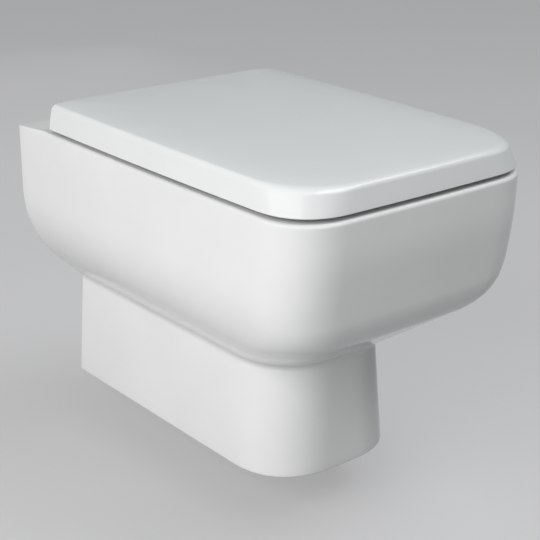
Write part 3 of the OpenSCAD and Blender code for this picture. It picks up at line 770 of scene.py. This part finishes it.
def seat():
    """The seat ring round its oval hole, with its barrels."""
    loops = []
    for p in outline(-SEAT_REAR, seat_nose, seat_in, CORNER, 1.0, SEAT_BACK_ROUND, **SEAT_COUNTS):
        o = Vector(p)
        v = o - Vector((0, hole_middle))
        wide, long = abs(v.x) * 2 / SEAT_HOLE_WIDTH, abs(v.y) * 2 / hole_length
        reach = (wide ** SEAT_HOLE_POWER + long ** SEAT_HOLE_POWER) ** (-1 / SEAT_HOLE_POWER)
        loops.append(seat_section(o, Vector((0, hole_middle)) + v * reach))
    body = ring_solid("seat_shell", loops)
    add_barrels(body, seat_x0, seat_x1, (-SEAT_REAR - SEAT_WEB, SEAT_BOTTOM + SEAT_WEB_RISE),
                (AXIS_Y, SEAT_BOTTOM + SEAT_H - SEAT_WEB_DROP))
    bore_barrels(body, -seat_x1)
    return finish_mesh(body)


# Materials

def material(name, color, roughness, metallic=0.0, ior=1.5):
    """A material with a Principled shader, and its nodes."""
    mat = bpy.data.materials.new(name)
    mat.use_nodes = True
    tree = mat.node_tree
    shader = tree.nodes["Principled BSDF"]
    shader.inputs["Base Color"].default_value = (*color, 1)
    shader.inputs["Roughness"].default_value = roughness
    shader.inputs["Metallic"].default_value = metallic
    shader.inputs["IOR"].default_value = ior
    return mat, tree, shader


def noise(tree, scale, detail, stretch=(1, 1, 1)):
    """A noise texture in object space, stretched along an axis."""
    place = tree.nodes.new("ShaderNodeTexCoord")
    span = tree.nodes.new("ShaderNodeMapping")
    span.inputs["Scale"].default_value = stretch
    tex = tree.nodes.new("ShaderNodeTexNoise")
    tex.inputs["Scale"].default_value = scale
    tex.inputs["Detail"].default_value = detail
    tree.links.new(place.outputs["Object"], span.inputs["Vector"])
    tree.links.new(span.outputs["Vector"], tex.inputs["Vector"])
    return tex.outputs["Fac"]


def roughen(tree, shader, source, low, high):
    """Varies the roughness between low and high by a noise value."""
    span = tree.nodes.new("ShaderNodeMapRange")
    span.inputs["From Min"].default_value = 0.3
    span.inputs["From Max"].default_value = 0.7
    span.inputs["To Min"].default_value = low
    span.inputs["To Max"].default_value = high
    tree.links.new(source, span.inputs["Value"])
    tree.links.new(span.outputs["Result"], shader.inputs["Roughness"])


def tint(tree, shader, source, dark, light):
    """Colours the surface between two colours by a noise value."""
    ramp = tree.nodes.new("ShaderNodeValToRGB")
    ramp.color_ramp.elements[0].position = 0.35
    ramp.color_ramp.elements[1].position = 0.65
    ramp.color_ramp.elements[0].color = (*dark, 1)
    ramp.color_ramp.elements[1].color = (*light, 1)
    tree.links.new(source, ramp.inputs["Fac"])
    tree.links.new(ramp.outputs["Color"], shader.inputs["Base Color"])


def bump(tree, shader, source, distance, strength):
    """Raises the surface by a noise value, over distance in metres."""
    node = tree.nodes.new("ShaderNodeBump")
    node.inputs["Distance"].default_value = distance
    node.inputs["Strength"].default_value = strength
    tree.links.new(source, node.inputs["Height"])
    tree.links.new(node.outputs["Normal"], shader.inputs["Normal"])


def shaded(color, share):
    return tuple(c * share for c in color)


def glaze():
    """Fired glaze: faint clouds in its colour and gloss, over a slow waviness."""
    mat, tree, shader = material("glaze", (0.83, 0.835, 0.835), 0.08, ior=1.52)
    shader.inputs["Specular IOR Level"].default_value = 0.12
    tint(tree, shader, noise(tree, scale=9, detail=3),
         dark=(0.815, 0.822, 0.822), light=(0.84, 0.845, 0.843))
    roughen(tree, shader, noise(tree, scale=30, detail=2), low=0.07, high=0.11)
    bump(tree, shader, noise(tree, scale=16, detail=1), distance=0.00012, strength=0.3)
    return mat


def moulding(name, color, rough, specular=0.5):
    """Moulded plastic, with the fine texture of its mould."""
    mat, tree, shader = material(name, color, rough)
    shader.inputs["Specular IOR Level"].default_value = specular
    tint(tree, shader, noise(tree, scale=14, detail=2), dark=shaded(color, 0.985), light=color)
    roughen(tree, shader, noise(tree, scale=60, detail=3), low=rough * 0.85, high=rough * 1.2)
    bump(tree, shader, noise(tree, scale=420, detail=2), distance=0.00001, strength=0.4)
    return mat


def rubber(name, color, rough):
    """Rubber with a matt, pitted skin."""
    mat, tree, shader = material(name, color, rough)
    tint(tree, shader, noise(tree, scale=90, detail=4), dark=shaded(color, 0.8), light=color)
    roughen(tree, shader, noise(tree, scale=200, detail=3), low=rough * 0.85, high=rough * 1.15)
    bump(tree, shader, noise(tree, scale=1500, detail=3), distance=0.00005, strength=0.5)
    return mat


def metal(name, color, rough, grain):
    """Metal with fine lines, whose grain is how much closer they lie along x, y and z."""
    mat, tree, shader = material(name, color, rough, metallic=1.0)
    lines = noise(tree, scale=160, detail=4, stretch=grain)
    tint(tree, shader, lines, dark=shaded(color, 0.9), light=color)
    roughen(tree, shader, lines, low=rough * 0.7, high=rough * 1.35)
    bump(tree, shader, lines, distance=0.00002, strength=0.35)
    return mat


looks = {
    "glaze": glaze(),
    "seat_gloss": moulding("seat_gloss", (0.83, 0.83, 0.82), 0.12, specular=0.25),
    "lid_gloss": moulding("lid_gloss", (0.83, 0.84, 0.845), 0.11),
    "buffer_rubber": rubber("buffer_rubber", (0.46, 0.46, 0.44), 0.5),
    "black_rubber": rubber("black_rubber", (0.02, 0.02, 0.02), 0.55),
    "hinge_steel": metal("hinge_steel", (0.62, 0.62, 0.62), 0.24, grain=(1, 14, 14)),
    "bolt_steel": metal("bolt_steel", (0.55, 0.55, 0.56), 0.3, grain=(6, 6, 1)),
    "stud_zinc": metal("stud_zinc", (0.58, 0.6, 0.62), 0.34, grain=(3, 20, 3)),
    "nylon": moulding("nylon", (0.72, 0.7, 0.62), 0.42),
    "damper_plastic": moulding("damper_plastic", (0.5, 0.51, 0.52), 0.38),
}

# Pieces that replace CAD nodes, and the looks of all pieces

PIECES = ((pan(), "ceramic_pan", "pan"), (lid(), "lid", "lid"), (seat(), "seat_ring", "seat"))
for piece, node, body in PIECES:
    name = {s["node"]: s["material_slot"] for s in frame["record"]["subparts"]}[node]
    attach(piece, body)
    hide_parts(node)
    piece.data.materials.clear()
    piece.data.materials.append(looks[name])

for sub in frame["record"]["subparts"]:
    obj = frame["nodes"][sub["node"]]
    for place in obj.material_slots:
        place.material = looks[sub["material_slot"]]

# Floor and light, with lengths in metres. The floor has a glow of its own where it is seen, and
# a plain grey for the light that it throws. The sky is paler where it is seen, too.

FLOOR_Z = -0.32
FLOOR_SIZE = 60.0
FLOOR_DARK = (0.315, 0.315, 0.318)
FLOOR_LIGHT = (0.325, 0.325, 0.328)
FLOOR_GLOW = (0.3, 0.3, 0.303)
FLOOR_THROWS = (0.33, 0.33, 0.335)
SKY_COLOR = (0.95, 1, 0.995)
SKY_STRENGTH = 0.18
SKY_SEEN = (0.36, 0.36, 0.363)

# Each lamp's name, place, target, size, power in watts, colour, spread in degrees, and whether
# glossy surfaces show it
WARM = (1.0, 0.995, 0.985)
COOL = (0.97, 0.99, 1.0)
WHITE = (1, 1, 1)
LAMPS = (
    ("key", (-2.03, -0.76, 0.76), (0, -0.26, -0.05), (2.5, 1.75), 13, WARM, 180, True),
    ("key_fill", (-1.99, -0.83, 0.74), (0, -0.26, -0.05), (2.4, 1.75), 33, WARM, 180, False),
    ("top", (0.88, -1.1, 2.2), (0, -0.3, 0), (1.8, 1.8), 34, COOL, 180, True),
    ("back", (0.8, 2.3, 0.1), (0, 0, -0.08), (1.2, 0.7), 2.6, WHITE, 60, False),
)


def shown(tree):
    """1 for a surface seen by the camera or in a reflection, and 0 for the light it throws."""
    path = tree.nodes.new("ShaderNodeLightPath")
    both = tree.nodes.new("ShaderNodeMath")
    both.operation = "MAXIMUM"
    tree.links.new(path.outputs["Is Camera Ray"], both.inputs[0])
    tree.links.new(path.outputs["Is Glossy Ray"], both.inputs[1])
    return both.outputs["Value"]


def floor():
    """A plain floor, which is paler where it is seen than in the light it throws on the part."""
    mesh = bpy.data.meshes.new("floor")
    h = FLOOR_SIZE / 2
    corners = [(-h, -h), (h, -h), (h, h), (-h, h)]
    mesh.from_pydata(at_z(corners, FLOOR_Z), [], [(0, 1, 2, 3)])
    obj = bpy.data.objects.new("floor", mesh)
    bpy.context.scene.collection.objects.link(obj)
    mat, tree, shader = material("floor", (0.32, 0.32, 0.323), 0.8)
    shader.inputs["Specular IOR Level"].default_value = 0.0
    shader.inputs["Emission Color"].default_value = (*FLOOR_GLOW, 1)
    shader.inputs["Emission Strength"].default_value = 1.0
    tint(tree, shader, noise(tree, scale=3, detail=3), dark=FLOOR_DARK, light=FLOOR_LIGHT)
    dim = tree.nodes.new("ShaderNodeBsdfDiffuse")
    dim.inputs["Color"].default_value = (*FLOOR_THROWS, 1)
    pick = tree.nodes.new("ShaderNodeMixShader")
    tree.links.new(shown(tree), pick.inputs["Fac"])
    tree.links.new(dim.outputs["BSDF"], pick.inputs[1])
    tree.links.new(shader.outputs["BSDF"], pick.inputs[2])
    tree.links.new(pick.outputs["Shader"], tree.nodes["Material Output"].inputs["Surface"])
    mesh.materials.append(mat)


def area_light(name, place, target, size, power, color, spread, shows):
    """A soft rectangular lamp."""
    data = bpy.data.lights.new(name, "AREA")
    data.shape = "RECTANGLE"
    data.size, data.size_y = size
    data.energy = power
    data.color = color
    data.spread = math.radians(spread)
    obj = bpy.data.objects.new(name, data)
    obj.visible_glossy = shows
    obj.location = place
    obj.rotation_euler = (Vector(target) - Vector(place)).to_track_quat("-Z", "Y").to_euler()
    bpy.context.scene.collection.objects.link(obj)


def world():
    """Even light from all round, and a pale backdrop where the camera sees past the floor."""
    scene_world = bpy.data.worlds.new("studio")
    bpy.context.scene.world = scene_world
    scene_world.use_nodes = True
    tree = scene_world.node_tree
    sky = tree.nodes["Background"]
    sky.inputs["Color"].default_value = (*SKY_COLOR, 1)
    sky.inputs["Strength"].default_value = SKY_STRENGTH
    seen = tree.nodes.new("ShaderNodeBackground")
    seen.inputs["Color"].default_value = (*SKY_SEEN, 1)
    path = tree.nodes.new("ShaderNodeLightPath")
    pick = tree.nodes.new("ShaderNodeMixShader")
    tree.links.new(path.outputs["Is Camera Ray"], pick.inputs["Fac"])
    tree.links.new(sky.outputs["Background"], pick.inputs[1])
    tree.links.new(seen.outputs["Background"], pick.inputs[2])
    tree.links.new(pick.outputs["Shader"], tree.nodes["World Output"].inputs["Surface"])


# The camera as fitted to the photograph, with lengths in millimetres: it stands back from LOOK_AT
# by DISTANCE, moved a little to the right and up in its own view

YAW = math.radians(-39.094)
PITCH = math.radians(20.748)
ROLL = math.radians(0.309)
FOCAL_PX = 1361.53
FRAME_PX = 540
SENSOR_MM = 36.0
DISTANCE = 1580.4
MOVE_RIGHT = 7.254
MOVE_UP = -5.765
LOOK_AT = Vector((0, -260, LID_BOTTOM - 150))


def camera():
    """The camera at the photograph's place and angle."""
    level = math.cos(PITCH)
    back = Vector((math.sin(YAW) * level, -math.cos(YAW) * level, math.sin(PITCH)))
    right = Vector((0, 0, 1)).cross(back).normalized()
    up = back.cross(right)
    r = right * math.cos(ROLL) + up * math.sin(ROLL)
    u = up * math.cos(ROLL) - right * math.sin(ROLL)
    place = (LOOK_AT + back * DISTANCE + r * MOVE_RIGHT + u * MOVE_UP) * MM
    data = bpy.data.cameras.new("camera")
    data.sensor_width = SENSOR_MM
    data.lens = FOCAL_PX / FRAME_PX * SENSOR_MM
    obj = bpy.data.objects.new("camera", data)
    turn = Matrix((r, u, back)).transposed().to_4x4()
    obj.matrix_world = Matrix.Translation(place) @ turn
    bpy.context.scene.collection.objects.link(obj)
    bpy.context.scene.camera = obj


floor()
world()
for lamp in LAMPS:
    area_light(*lamp)
camera()

bpy.context.scene.view_settings.view_transform = "Standard"
